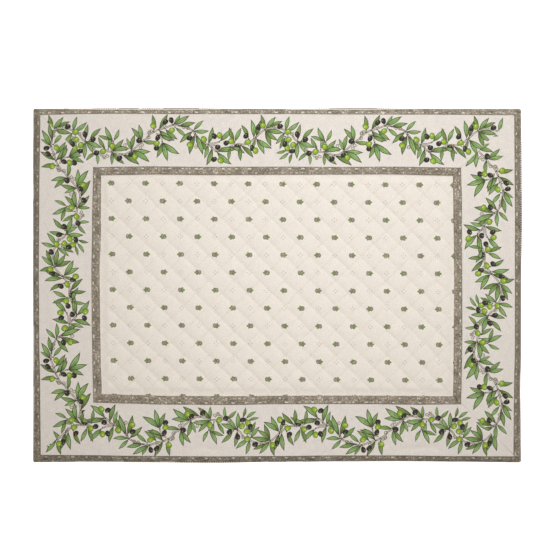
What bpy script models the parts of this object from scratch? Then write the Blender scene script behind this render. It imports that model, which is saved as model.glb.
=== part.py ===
# A quilted cotton placemat, lying flat. A diamond-quilted centre panel is framed by four
# mitred border strips, and each strip's inner band laps over the panel's edge.
# Metres, +Z up. The origin is in the middle of the underside.

import math

import bmesh
import bpy

MM = 0.001

# The mat's finished corners, in mm: where the outer folds meet, and where the laps meet.
CORNERS = {
    # name: (outer x, outer y, lap x, lap y)
    "top_left": (-239.4, 173.8, -172.8, 108.5),
    "top_right": (239.6, 173.6, 173.2, 108.5),
    "bottom_right": (239.6, -173.7, 172.7, -108.6),
    "bottom_left": (-239.7, -173.6, -172.4, -106.8),
}

# How far each side reaches from the middle of the mat between its corners, in mm.
# Each row is (share of the way along, outer fold, lap edge).
SIDES = {
    "border_top": (
        (0.17, 174.2, 108.6), (0.32, 174.3, 108.4), (0.50, 173.5, 108.5),
        (0.67, 174.2, 108.7), (0.84, 173.5, 108.7),
    ),
    "border_bottom": (
        (0.17, 173.4, 107.2), (0.35, 174.3, 108.6), (0.50, 173.4, 108.6),
        (0.67, 173.1, 108.4), (0.77, 172.8, 108.5), (0.90, 173.5, 108.6),
    ),
    "border_left": ((0.25, 239.8, 173.1), (0.50, 240.0, 173.8), (0.75, 239.8, 173.3)),
    "border_right": ((0.25, 239.9, 173.4), (0.45, 239.7, 173.8), (0.75, 239.1, 173.3)),
}

# Each strip runs between two corners, along X or Y, and faces away from the middle.
STRIPS = {
    # name: (first corner, last corner, axis it runs along, sign of the side it lies on)
    "border_top": ("top_left", "top_right", 0, 1),
    "border_bottom": ("bottom_left", "bottom_right", 0, -1),
    "border_left": ("bottom_left", "top_left", 1, -1),
    "border_right": ("bottom_right", "top_right", 1, 1),
}

CORNER_RADIUS = 2.5     # the turned-out outer corners
CORNER_STEPS = 3        # stations round half of a corner
STATION_PITCH = 12.0    # along a strip
CLEARANCE = 0.3         # between neighbouring pieces

PANEL_HALF_X = 180.7    # the panel's raw edge, under the laps
PANEL_HALF_Y = 115.8
PANEL_EDGE_HEIGHT = 1.3
FIELD = (-171.8, 171.8, -106.0, 107.4)   # low x, high x, low y, high y that no lap covers

QUILT_PITCH = 24.5      # between stitched lines of one set, measured along X
QUILT_CROSSING = (7.1, 4.6)   # one point where two stitched lines cross
QUILT_CELLS = 6         # grid cells in one pitch, an even number
CHANNEL_HEIGHT = 1.6    # the cloth's top at a stitched line
QUILT_RELIEF = 1.3      # the rise from a stitched line to the middle of a diamond
EDGE_FADE = 7.0         # the quilting flattens this far from the laps

# The border's section, in mm: (zone, share across the zone, height). The fold zone runs from
# the outer fold to the panel's raw edge, and the lap zone from there to the lap's edge.
BORDER_SECTION = (
    ("fold", 0.000, 1.0), ("fold", 0.008, 1.8), ("fold", 0.030, 2.2), ("fold", 0.970, 2.3),
    ("lap", 0.100, 2.8), ("lap", 0.850, 2.8), ("lap", 1.000, 2.4), ("lap", 1.000, 1.9),
    ("lap", 0.940, 1.6), ("lap", 0.000, 1.6), ("lap", 0.000, 0.0), ("fold", 0.020, 0.0),
    ("fold", 0.005, 0.3),
)

PANEL_COLOR = (0.78, 0.73, 0.65)
BORDER_COLOR = (0.72, 0.67, 0.61)
CLOTH_ROUGHNESS = 0.9
SMOOTH_ANGLE = math.radians(40)


def clothMaterial(name, color):
    material = bpy.data.materials.new(name)
    material.use_nodes = True
    shader = material.node_tree.nodes["Principled BSDF"]
    shader.inputs["Base Color"].default_value = (*color, 1.0)
    shader.inputs["Roughness"].default_value = CLOTH_ROUGHNESS
    shader.inputs["Metallic"].default_value = 0.0
    return material


def addPiece(name, vertices, faces, material):
    """Adds one piece as a named object, from points in mm."""
    mesh = bpy.data.meshes.new(name)
    mesh.from_pydata([(x * MM, y * MM, z * MM) for x, y, z in vertices], [], faces)
    shell = bmesh.new()
    shell.from_mesh(mesh)
    bmesh.ops.recalc_face_normals(shell, faces=shell.faces)
    shell.to_mesh(mesh)
    shell.free()
    mesh.shade_smooth()
    mesh.set_sharp_from_angle(angle=SMOOTH_ANGLE)
    mesh.materials.append(material)
    piece = bpy.data.objects.new(name, mesh)
    bpy.context.scene.collection.objects.link(piece)
    return piece


def smoothStep(value):
    value = min(max(value, 0.0), 1.0)
    return value * value * (3.0 - 2.0 * value)


def reachAt(rows, share):
    """A side's reach at a share of its length, eased from row to row."""
    for (shareA, reachA), (shareB, reachB) in zip(rows, rows[1:]):
        if share <= shareB:
            return reachA + (reachB - reachA) * smoothStep((share - shareA) / (shareB - shareA))
    return rows[-1][1]


def quiltHeight(x, y):
    """The top of the quilted cloth: a pillow in each diamond, flatter near the laps."""
    across = (x - QUILT_CROSSING[0] + y - QUILT_CROSSING[1]) / QUILT_PITCH
    along = (x - QUILT_CROSSING[0] - y + QUILT_CROSSING[1]) / QUILT_PITCH
    pillow = math.sqrt(abs(math.sin(math.pi * across) * math.sin(math.pi * along)))
    lowX, highX, lowY, highY = FIELD
    toLap = min(x - lowX, highX - x, y - lowY, highY - y)
    full = CHANNEL_HEIGHT + QUILT_RELIEF * pillow
    return PANEL_EDGE_HEIGHT + (full - PANEL_EDGE_HEIGHT) * smoothStep(toLap / EDGE_FADE)


def gridLines(low, high, half, crossing):
    """Grid lines through the quilting's crossings, then the field's edge and the raw edge."""
    step = QUILT_PITCH / QUILT_CELLS
    first = math.ceil((low + 1.0 - crossing) / step)
    last = math.floor((high - 1.0 - crossing) / step)
    inner = [(index, crossing + index * step) for index in range(first, last + 1)]
    return [(first - 2, -half), (first - 1, low)] + inner + [(last + 1, high), (last + 2, half)]


def buildPanel(material):
    """The quilted panel: a height field on a grid, each cell split along the stitched line."""
    columns = gridLines(FIELD[0], FIELD[1], PANEL_HALF_X, QUILT_CROSSING[0])
    rows = gridLines(FIELD[2], FIELD[3], PANEL_HALF_Y, QUILT_CROSSING[1])
    width = len(columns)
    vertices = [(x, y, quiltHeight(x, y)) for _, y in rows for _, x in columns]
    faces = []
    for rowNumber, (rowIndex, _) in enumerate(rows[:-1]):
        for columnNumber, (columnIndex, _) in enumerate(columns[:-1]):
            corner = rowNumber * width + columnNumber
            nextRow = corner + width
            rising = (columnIndex - rowIndex) % 2 == 0
            if rising:
                faces.append((corner, corner + 1, nextRow + 1))
                faces.append((corner, nextRow + 1, nextRow))
            else:
                faces.append((corner, corner + 1, nextRow))
                faces.append((corner + 1, nextRow + 1, nextRow))
    lastRow = (len(rows) - 1) * width
    rim = list(range(width))
    rim += [row * width + width - 1 for row in range(1, len(rows))]
    rim += [lastRow + column for column in range(width - 2, -1, -1)]
    rim += [row * width for row in range(len(rows) - 2, 0, -1)]
    base = len(vertices)
    vertices += [(vertices[index][0], vertices[index][1], 0.0) for index in rim]
    for number, index in enumerate(rim):
        following = (number + 1) % len(rim)
        faces.append((index, base + number, base + following, rim[following]))
    faces.append(tuple(base + number for number in reversed(range(len(rim)))))
    return addPiece("quilted_center", vertices, faces, material)


def stationShares(length):
    """Shares of the way along a strip, closer together round its corners."""
    turns = [CORNER_RADIUS * (1.0 - math.cos(math.radians(45.0 + 45.0 * step / CORNER_STEPS)))
             for step in range(CORNER_STEPS + 1)]
    starts = [distance / length for distance in turns]
    count = round((length - 2.0 * CORNER_RADIUS) / STATION_PITCH)
    middle = [starts[-1] + (1.0 - 2.0 * starts[-1]) * step / count for step in range(1, count)]
    return starts + middle + [1.0 - share for share in reversed(starts)]


def cornerInset(distance):
    """How far a rounded corner draws the outer fold in, at a distance from its point."""
    if distance >= CORNER_RADIUS:
        return 0.0
    return CORNER_RADIUS - math.sqrt(CORNER_RADIUS ** 2 - (CORNER_RADIUS - distance) ** 2)


def mitreCrossing(corner, axis, reach):
    """Where a corner's mitre line crosses a line at the given reach across the strip."""
    outer = CORNERS[corner][0:2]
    lap = CORNERS[corner][2:4]
    other = 1 - axis
    share = (reach - outer[other]) / (lap[other] - outer[other])
    return outer[axis] + share * (lap[axis] - outer[axis])


def buildStrip(name, material):
    """A mitred strip: its section carried along three guide lines from corner to corner."""
    first, last, axis, side = STRIPS[name]
    other = 1 - axis
    length = CORNERS[last][axis] - CORNERS[first][axis]
    outerRows = [(0.0, side * CORNERS[first][other])]
    lapRows = [(0.0, side * CORNERS[first][2 + other])]
    for share, outer, lap in SIDES[name]:
        outerRows.append((share, outer))
        lapRows.append((share, lap))
    outerRows.append((1.0, side * CORNERS[last][other]))
    lapRows.append((1.0, side * CORNERS[last][2 + other]))
    rawEdge = (PANEL_HALF_Y if axis == 0 else PANEL_HALF_X) + CLEARANCE
    trim = CLEARANCE / math.sqrt(2.0)

    shares = stationShares(length)
    stations = []
    for share in shares:
        ease = (share - shares[0]) / (shares[-1] - shares[0])
        guides = []
        for reach in (reachAt(outerRows, share) - cornerInset(min(share, 1.0 - share) * length),
                      rawEdge, reachAt(lapRows, share)):
            start = mitreCrossing(first, axis, side * reach) + trim
            end = mitreCrossing(last, axis, side * reach) - trim
            guides.append((start + (end - start) * ease, side * reach))
        stations.append(guides)

    vertices = []
    for fold, raw, lap in stations:
        for zone, share, height in BORDER_SECTION:
            begin, finish = (fold, raw) if zone == "fold" else (raw, lap)
            along = begin[0] + (finish[0] - begin[0]) * share
            across = begin[1] + (finish[1] - begin[1]) * share
            vertices.append((along, across, height) if axis == 0 else (across, along, height))
    size = len(BORDER_SECTION)
    faces = [tuple(range(size))]
    for station in range(len(stations) - 1):
        low = station * size
        for point in range(size):
            following = (point + 1) % size
            faces.append((low + point, low + following, low + size + following, low + size + point))
    top = (len(stations) - 1) * size
    faces.append(tuple(range(top + size - 1, top - 1, -1)))
    return addPiece(name, vertices, faces, material)


def main():
    for existing in list(bpy.data.objects):
        bpy.data.objects.remove(existing, do_unlink=True)
    panelCloth = clothMaterial("quilted_cotton_print", PANEL_COLOR)
    borderCloth = clothMaterial("border_cotton_print", BORDER_COLOR)
    buildPanel(panelCloth)
    for name in STRIPS:
        buildStrip(name, borderCloth)


main()
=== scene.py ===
import math
import random
from functools import partial

import bpy
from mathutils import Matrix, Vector, noise
from mathutils.geometry import delaunay_2d_cdt


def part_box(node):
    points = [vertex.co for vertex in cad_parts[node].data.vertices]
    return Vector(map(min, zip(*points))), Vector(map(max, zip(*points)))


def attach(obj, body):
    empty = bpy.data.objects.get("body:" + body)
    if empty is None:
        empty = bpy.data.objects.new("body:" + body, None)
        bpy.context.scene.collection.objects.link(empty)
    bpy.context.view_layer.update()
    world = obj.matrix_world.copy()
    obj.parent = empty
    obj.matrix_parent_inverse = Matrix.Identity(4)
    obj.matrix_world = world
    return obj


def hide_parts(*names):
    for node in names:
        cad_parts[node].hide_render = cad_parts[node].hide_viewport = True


# A quilted cotton placemat: a diamond-quilted centre in four mitred borders, printed with olive sprays.
# Lengths in the dictionaries are in mm, and angles in degrees.

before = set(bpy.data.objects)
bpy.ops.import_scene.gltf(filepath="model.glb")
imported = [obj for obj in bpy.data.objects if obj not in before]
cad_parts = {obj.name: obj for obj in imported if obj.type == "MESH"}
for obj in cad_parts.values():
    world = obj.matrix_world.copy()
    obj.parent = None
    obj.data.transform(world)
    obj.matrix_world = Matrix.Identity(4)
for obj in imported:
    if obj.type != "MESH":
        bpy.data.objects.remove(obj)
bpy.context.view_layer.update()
print("Frame loaded:", ", ".join(sorted(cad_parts)))

mm = 0.001

corners = {  # where the outer folds meet, and where the laps meet
    "top_left": ((-239.4, 173.8), (-172.8, 108.5)),
    "top_right": ((239.6, 173.6), (173.2, 108.5)),
    "bottom_right": ((239.6, -173.7), (172.7, -108.6)),
    "bottom_left": ((-239.7, -173.6), (-172.4, -106.8)),
}

# Each border, clockwise. A row is a share of its length, then how far from the mat's middle lie the
# outer fold, the hem band's two edges, the inner band's line and the lap's edge. Each border's hem
# factor is painted light and shade on the hem band: paler on the top border, darker on the borders whose
# rolled fold faces away from the light. drift is where along the border the cloth is pulled, and how far
# along and outwards the print moved there. hemEdge lists stretches of the border, with how solid the
# printed teeth and the printed line past the hem band are there, from -1 for none to 1.
borders = {
    "border_top": {
        "turns": 0, "from": "top_left", "to": "top_right", "middle": 142.5, "printStart": -118.6,
        "hemPaintedShade": 1.06,
        "drift": (
            (-220, 1.0, 0.0), (-150, 1.0, 0.8), (-110, 0.5, 0.4), (-60, 0.0, 0.0), (0, -0.3, 0.4),
            (60, -0.2, 0.0), (110, -0.9, -0.4), (180, -1.0, -0.6), (220, -0.5, -1.0),
        ),
        "hemEdge": (
            (-223, -217, -1.0, 1.0), (-210, -205, 0.3, -1.0), (-180, -157, -1.0, 0.0),
            (-156, -135, -1.0, 1.0), (-133, -115, -1.0, 0.0), (-113, -76, -1.0, 1.0),
            (-75, -55, -1.0, 0.0), (-34, 10, 0.2, -1.0), (37, 50, -1.0, -0.2), (51, 97, -1.0, 1.0),
            (98, 125, -1.0, 0.1), (138, 164, 0.0, -1.0), (164, 222, -0.2, -0.3), (222, 239, -0.2, 0.3),
        ),
        "rows": (
            (0.00, 173.8, 173.6, 167.2, 116.1, 108.3), (0.08, 174.0, 172.9, 168.0, 116.6, 108.7),
            (0.15, 174.2, 172.5, 168.4, 116.9, 109.0), (0.32, 174.3, 172.5, 168.1, 116.4, 108.5),
            (0.40, 174.0, 173.1, 168.1, 116.5, 108.6), (0.50, 173.7, 172.5, 168.1, 116.6, 108.8),
            (0.67, 174.3, 172.5, 167.7, 116.3, 109.0), (0.80, 173.9, 173.2, 167.6, 116.6, 109.2),
            (1.00, 173.6, 173.6, 167.0, 115.7, 107.9),
        ),
    },
    "border_right": {
        "turns": 1, "from": "top_right", "to": "bottom_right", "middle": 207.9, "printStart": -109.6,
        "hemPaintedShade": 0.84,
        "drift": (
            (-160, 0.5, -1.0), (-90, 0.5, -0.8), (-20, 0.2, -0.1), (40, 0.0, 0.5), (80, -0.4, -0.5),
            (120, -0.1, -2.0), (160, 0.0, -1.5),
        ),
        "hemEdge": (
            (-165, -90, 0.0, -0.3), (-90, -55, 0.3, 0.3), (-55, 85, 0.2, -0.2), (85, 112, -0.5, -1.0),
            (112, 150, 0.2, 0.4), (150, 170, -0.2, 0.0),
        ),
        "rows": (
            (0.00, 239.6, 239.4, 232.6, 180.4, 172.6), (0.15, 240.3, 238.6, 232.9, 181.3, 173.0),
            (0.32, 240.5, 239.0, 233.3, 181.4, 173.5), (0.50, 239.8, 238.6, 233.2, 181.6, 173.8),
            (0.68, 239.7, 238.5, 233.2, 181.7, 173.5), (0.80, 239.0, 238.0, 232.4, 181.4, 173.3),
            (0.90, 239.3, 238.1, 232.0, 181.0, 173.1), (1.00, 239.6, 239.0, 231.8, 180.4, 172.7),
        ),
    },
    "border_bottom": {
        "turns": 2, "from": "bottom_right", "to": "bottom_left", "middle": 142.5, "printStart": -100.9,
        "hemPaintedShade": 0.74,
        "drift": (
            (-220, 1.4, -0.1), (-155, 2.5, 0.5), (-110, 2.2, -0.4), (-55, 1.3, -1.0), (-5, 0.5, -0.4),
            (20, 0.6, 0.1), (65, 1.3, 1.0), (100, 1.0, 0.2), (150, 0.6, -1.4), (220, 0.4, -1.5),
        ),
        "hemEdge": (
            (-210, -185, 0.5, -1.0), (-183, -165, 0.3, -0.9), (-40, -25, 0.1, -1.0), (-8, 8, 0.5, -1.0),
            (12, 100, 0.4, -1.0), (115, 150, 0.2, -0.9), (198, 215, 0.3, -0.9),
        ),
        "rows": (
            (0.00, 173.7, 173.4, 167.5, 116.5, 108.6), (0.12, 173.0, 172.8, 167.3, 116.9, 108.2),
            (0.25, 172.7, 172.0, 166.6, 116.3, 107.9), (0.38, 172.9, 172.2, 166.6, 116.2, 107.9),
            (0.50, 173.2, 172.6, 167.2, 116.4, 108.1), (0.63, 174.1, 173.0, 167.5, 117.2, 108.5),
            (0.80, 173.6, 172.4, 167.0, 116.8, 108.2), (0.90, 173.2, 172.3, 166.3, 115.7, 107.3),
            (1.00, 173.6, 173.2, 166.1, 114.8, 106.4),
        ),
    },
    "border_left": {
        "turns": 3, "from": "bottom_left", "to": "top_left", "middle": 207.9, "printStart": -89.4,
        "hemPaintedShade": 0.80,
        "drift": (
            (-160, 1.6, 0.4), (-105, 1.5, -0.9), (-60, 1.0, -0.5), (-10, 0.6, 0.0), (40, 0.5, 0.5),
            (75, 0.5, 0.2), (105, 0.5, -1.0), (160, 0.0, -1.0),
        ),
        "hemEdge": (
            (-100, -84, 0.2, -0.6), (-40, -6, 0.4, -0.3), (-6, 12, 0.5, 0.5), (12, 45, 0.4, -0.6),
            (50, 78, 0.1, 0.2), (79, 84, 0.5, 0.5), (100, 112, 0.1, -0.7), (113, 142, 0.4, -0.3),
        ),
        "rows": (
            (0.00, 239.7, 238.9, 231.8, 180.2, 172.0), (0.20, 239.5, 238.2, 232.4, 181.2, 173.1),
            (0.35, 239.5, 238.2, 233.3, 181.8, 173.6), (0.55, 239.6, 238.5, 233.6, 182.1, 174.0),
            (0.75, 239.6, 238.4, 233.2, 181.4, 172.7), (1.00, 239.4, 238.9, 232.2, 180.4, 172.6),
        ),
    },
}
foldColumn, bandEndColumn, outerLineColumn, innerLineColumn, lapColumn = 1, 2, 3, 4, 5
teethColumn, lineColumn = 2, 3  # in hemEdge
plainHemEdge = -0.85  # how solid teeth and line are between the listed stretches


def turned(point, quarters):
    x, y = point
    for _ in range(quarters % 4):
        x, y = -y, x
    return x, y


def smoothStep(value):
    value = min(max(value, 0.0), 1.0)
    return value * value * (3.0 - 2.0 * value)


def quarterRound(distance, radius):
    left = 1.0 - min(max(distance / radius, 0.0), 1.0)
    return math.sqrt(1.0 - left * left)


def rowAt(rows, place, column):
    for low, high in zip(rows, rows[1:]):
        if place <= high[0]:
            share = smoothStep((place - low[0]) / (high[0] - low[0]))
            return low[column] + (high[column] - low[column]) * share
    return rows[-1][column]


def reachAt(border, share, column):
    return rowAt(border["rows"], share, column)


def hemEdgeAt(border, along, column):
    for stretch in border["hemEdge"]:
        if stretch[0] <= along <= stretch[1]:
            return stretch[column]
    return plainHemEdge


def mitreAt(border, end, across):  # where along the border its mitre lies, that far from the mat's middle
    (outerAlong, outerAcross), (lapAlong, lapAcross) = (
        turned(point, border["turns"]) for point in corners[border[end]]
    )
    return outerAlong + (across - outerAcross) * (lapAlong - outerAlong) / (lapAcross - outerAcross)


def lengthAt(border, across):
    return mitreAt(border, "to", across) - mitreAt(border, "from", across)


def shareAt(border, along, across):
    return (along - mitreAt(border, "from", across)) / lengthAt(border, across)


def linearColor(code):
    values = [int(code[place:place + 2], 16) / 255 for place in (0, 2, 4)]
    return tuple(v / 12.92 if v <= 0.04045 else ((v + 0.055) / 1.055) ** 2.4 for v in values) + (1.0,)


def addNode(tree, kind, links=None, stops=(), **settings):
    node = tree.nodes.new("ShaderNode" + kind)
    for name, value in settings.items():
        setattr(node, name, value)
    for place, value in (links or {}).items():
        if isinstance(value, bpy.types.Node):  # a node stands for its first output in use
            value = next(socket for socket in value.outputs if socket.enabled)
        if isinstance(value, bpy.types.NodeSocket):
            tree.links.new(value, node.inputs[place])
        else:  # text is a hex colour
            node.inputs[place].default_value = linearColor(value) if isinstance(value, str) else value
    for _ in stops[2:]:
        node.color_ramp.elements.new(0.5)
    for element, (position, code) in zip(node.color_ramp.elements if stops else (), stops):
        element.position = position
        element.color = linearColor(code)
    return node


def newMaterial(name, finish):
    material = bpy.data.materials.new(name)
    material.use_nodes = True
    shader = material.node_tree.nodes["Principled BSDF"]
    for socket, value in finish.items():
        shader.inputs[socket].default_value = value
    return material, material.node_tree, shader


def addPiece(name, mesh, materials, sharpAngle):
    for material in materials:
        mesh.materials.append(material)
    mesh.shade_smooth()
    mesh.set_sharp_from_angle(angle=math.radians(sharpAngle))
    mesh.validate()
    piece = bpy.data.objects.new(name, mesh)
    bpy.context.scene.collection.objects.link(piece)
    return piece


cotton = {
    "threadPitch": 0.5,    # 20 threads a cm, coarser than real percale, so that it shows
    "threadHeight": 0.05,
    "slubWidth": 0.9,      # nearly two threads wide, for the same reason
    "slubLength": 7.0,
    "slubHeight": 0.05,
    "wearSize": 5.0,       # soft worn patches
    "grainSize": 1.2,      # small uneven spots where the print sits on the threads
    "cloudScale": 0.09,    # faint clouds of the ground, about 11 mm wide
    "slubShare": 0.6,      # how much slubs, wear and spots count in the tone
    "wearShare": 0.5,
    "grainShare": 2.2,
    "toneSpread": 0.12,    # how far the tone lightens or darkens the print
    "bump": 0.8,
    "sharpAngle": 40,
    "finish": {"Roughness": 0.88, "Sheen Weight": 0.08, "Sheen Roughness": 0.6, "Specular IOR Level": 0.25},
}


def startCotton(name):
    # Plain-woven cotton scatters light evenly, with a faint fuzz sheen and a fine crossed thread relief.
    material, tree, shader = newMaterial(name, cotton["finish"])
    cloth = addNode(tree, "UVMap", uv_map="cloth")  # mm along and across the cloth
    turn = math.pi / cotton["threadPitch"]
    threads = addNode(tree, "VectorMath", {0: cloth, 1: (turn, turn, 0)}, operation="MULTIPLY")
    crossed = addNode(tree, "SeparateXYZ", {0: addNode(tree, "VectorMath", {0: threads}, operation="SINE")})
    weave = addNode(tree, "Math", {0: crossed.outputs[0], 1: crossed.outputs[1]}, operation="MULTIPLY")
    wide, long = 1 / cotton["slubWidth"], 1 / cotton["slubLength"]
    slubs = []
    for scale in ((long, wide, 0), (wide, long, 0)):
        place = addNode(tree, "VectorMath", {0: cloth, 1: scale}, operation="MULTIPLY")
        slubs.append(addNode(tree, "TexNoise", {"Vector": place, "Scale": 1.0, "Detail": 2.0}))
    layers = {"slub": addNode(tree, "Math", {0: slubs[0], 1: slubs[1]}, operation="ADD")}
    for layer, detail, roughness in (("wear", 3.0, 0.6), ("grain", 2.0, 0.7)):
        scale = 1 / cotton[layer + "Size"]
        layers[layer] = addNode(
            tree, "TexNoise", {"Vector": cloth, "Scale": scale, "Detail": detail, "Roughness": roughness}
        )
    tone = -cotton["slubShare"] - cotton["wearShare"] / 2 - cotton["grainShare"] / 2
    for layer, node in layers.items():
        tone = addNode(tree, "Math", {0: node, 1: cotton[layer + "Share"], 2: tone}, operation="MULTIPLY_ADD")
    raised = addNode(tree, "Math", {0: weave, 1: cotton["threadHeight"] / 2}, operation="MULTIPLY")
    links = {0: layers["slub"], 1: cotton["slubHeight"], 2: raised}
    raised = addNode(tree, "Math", links, operation="MULTIPLY_ADD")
    bump = addNode(tree, "Bump", {"Height": raised, "Distance": mm, "Strength": cotton["bump"]})
    tree.links.new(bump.outputs[0], shader.inputs["Normal"])
    return material, tree, cloth, tone


def finishCotton(material, color, tone, spread=cotton["toneSpread"]):
    tree = material.node_tree
    light = addNode(tree, "Math", {0: tone, 1: 2 * spread, 2: 1.0}, operation="MULTIPLY_ADD")
    shaded = addNode(tree, "VectorMath", {0: color, "Scale": light}, operation="SCALE")
    tree.links.new(shaded.outputs[0], tree.nodes["Principled BSDF"].inputs["Base Color"])
    return material


def cloudedGround(tree, cloth, stops):
    links = {"Vector": cloth, "Scale": cotton["cloudScale"], "Detail": 3.0, "Roughness": 0.6}
    return addNode(tree, "ValToRGB", {0: addNode(tree, "TexNoise", links)}, stops=stops)


bandPrint = {
    "sizes": {             # soft darker patches, mottles and spots, and where the ink turns warm or cool
        "patch": 9.0, "mottle": 1.8, "grain": 1.0, "tint": 2.2,
    },
    "shares": {"patch": 0.9, "mottle": 1.35, "grain": 1.45},
    "base": -1.285,        # with the three noises, how pale the band is
    "flecks": (            # depth, pitch, start, half length, half height, how pale
        (1.9, 26.19, 13.1, 1.6, 0.75, 0.70), (2.0, 26.19, 0.0, 1.3, 0.66, 0.50),
        (2.3, 13.09, 6.5, 1.0, 0.45, 0.16), (6.2, 13.09, 6.8, 1.1, 0.68, 0.56),
        (6.0, 13.09, 2.6, 1.0, 0.50, 0.16), (4.1, 26.19, 13.6, 3.0, 1.30, -0.16),
        (4.1, 26.19, 0.6, 2.2, 1.00, -0.09),
    ),
    "fleckFade": (1.3, 0.4),   # where a fleck begins and is full, over its half size
    "lineFade": (0.7, 0.2),    # the dark line along the band's edge, by depth
    "lineDepth": 0.30,
    "tintFade": (0.31, 0.64),
    "blur": 0.1,               # half the width of a soft edge
    "warm": ((0.0, "4f4434"), (0.35, "73654f"), (0.6, "8c7c65"), (0.85, "a69681"), (1.0, "ccc4b6")),
    "cool": ((0.0, "4a4843"), (0.35, "6b6963"), (0.6, "84817a"), (0.85, "9e9b95"), (1.0, "cac7c1")),
    "selvedge": "cdc9c2",      # the pale strip past the hem band
    "toothPitch": 2.25,
    "tooth": "40392c",
    "toothShare": 1.3,         # how much the stretch counts beside the wave of the teeth
    "toothFade": (-0.2, 0.4),
    "toothRows": (("teeth", 0.40, 0.50), ("line", 1.25, 0.40)),  # middle and half height past the band
}
bandDistances = ("outerDepth", "innerDepth", "pastBand")


def bandColor(tree, cloth, ground):
    # The taupe scrolled bands, drawn by depth into the band and by length along the cloth.
    along = addNode(tree, "SeparateXYZ", {0: cloth})
    read = {}
    for name in bandDistances + ("teeth", "line", "hemPaintedShade"):
        read[name] = addNode(tree, "Attribute", attribute_name=name).outputs["Fac"]
    depth = addNode(tree, "Math", {0: read["outerDepth"], 1: read["innerDepth"]}, operation="MAXIMUM")
    blur = bandPrint["blur"]
    inBand, inHem, inStrip = (
        addNode(tree, "MapRange", {0: distance, 1: -blur, 2: blur})
        for distance in (depth, read["outerDepth"], read["pastBand"])
    )
    noises = {}
    for name, size in bandPrint["sizes"].items():
        links = {"Vector": cloth, "Scale": 1 / size, "Detail": 2.0, "Roughness": 0.6}
        noises[name] = addNode(tree, "TexNoise", links)
    value = bandPrint["base"]
    for name, share in bandPrint["shares"].items():
        value = addNode(tree, "Math", {0: noises[name], 1: share, 2: value}, operation="MULTIPLY_ADD")
    begin, full = bandPrint["fleckFade"]
    for fleckDepth, pitch, start, halfLength, halfHeight, strength in bandPrint["flecks"]:
        shifted = addNode(tree, "Math", {0: along, 1: start}, operation="SUBTRACT")
        nearest = addNode(tree, "Math", {0: shifted, 1: pitch / 2, 2: -pitch / 2}, operation="WRAP")
        off = addNode(tree, "Math", {0: depth, 1: fleckDepth}, operation="SUBTRACT")
        spot = addNode(tree, "CombineXYZ", {0: nearest, 1: off})
        scale = (1 / halfLength, 1 / halfHeight, 0)
        spot = addNode(tree, "VectorMath", {0: spot, 1: scale}, operation="MULTIPLY")
        spot = addNode(tree, "VectorMath", {0: spot}, operation="LENGTH").outputs["Value"]
        fleck = addNode(tree, "MapRange", {0: spot, 1: begin, 2: full, 4: 2 * strength})
        value = addNode(tree, "Math", {0: fleck, 1: noises["mottle"], 2: value}, operation="MULTIPLY_ADD")
    begin, full = bandPrint["lineFade"]
    line = addNode(tree, "MapRange", {0: depth, 1: begin, 2: full, 4: bandPrint["lineDepth"]})
    value = addNode(tree, "Math", {0: value, 1: line}, operation="SUBTRACT")
    warm = addNode(tree, "ValToRGB", {0: value}, stops=bandPrint["warm"])
    cool = addNode(tree, "ValToRGB", {0: value}, stops=bandPrint["cool"])
    begin, full = bandPrint["tintFade"]
    tint = addNode(tree, "MapRange", {0: noises["tint"], 1: begin, 2: full})
    band = addNode(tree, "Mix", {0: tint, 6: warm, 7: cool}, data_type="RGBA")
    # Painted shade: each border's hem factor darkens the hem band where its rolled fold faces away from the
    # light, and lightens it a little on the top border.
    ink = addNode(tree, "Mix", {0: inHem, 2: 1.0, 3: read["hemPaintedShade"]})
    band = addNode(tree, "VectorMath", {0: band, "Scale": ink}, operation="SCALE")
    # Past the hem band come a pale strip, a row of small dark teeth and a thin broken line.
    band = addNode(tree, "Mix", {0: inStrip, 6: band, 7: bandPrint["selvedge"]}, data_type="RGBA")
    wave = addNode(tree, "Math", {0: along, 1: math.tau / bandPrint["toothPitch"]}, operation="MULTIPLY")
    wave = addNode(tree, "Math", {0: wave}, operation="SINE")
    begin, full = bandPrint["toothFade"]
    for name, rowMiddle, halfHeight in bandPrint["toothRows"]:
        offRow = addNode(tree, "Math", {0: read["pastBand"], 1: rowMiddle}, operation="SUBTRACT")
        offRow = addNode(tree, "Math", {0: offRow}, operation="ABSOLUTE")
        onRow = addNode(tree, "MapRange", {0: offRow, 1: halfHeight + blur, 2: halfHeight - blur})
        links = {0: read[name], 1: bandPrint["toothShare"], 2: wave}
        tooth = addNode(tree, "Math", links, operation="MULTIPLY_ADD")
        tooth = addNode(tree, "MapRange", {0: tooth, 1: begin, 2: full})
        tooth = addNode(tree, "Math", {0: tooth, 1: onRow}, operation="MULTIPLY")
        band = addNode(tree, "Mix", {0: tooth, 6: band, 7: bandPrint["tooth"]}, data_type="RGBA")
    return addNode(tree, "Mix", {0: inBand, 6: ground, 7: band}, data_type="RGBA")


def borderCottonMaterial():
    # Cotton percale, printed: cream ground with faint lilac-grey clouds and taupe bands.
    material, tree, cloth, tone = startCotton("printed_cotton_percale")
    ground = cloudedGround(tree, cloth, ((0.38, "d1ccc6"), (0.58, "cecac6"), (0.75, "c9c5c4")))
    return finishCotton(material, bandColor(tree, cloth, ground), tone)


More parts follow.
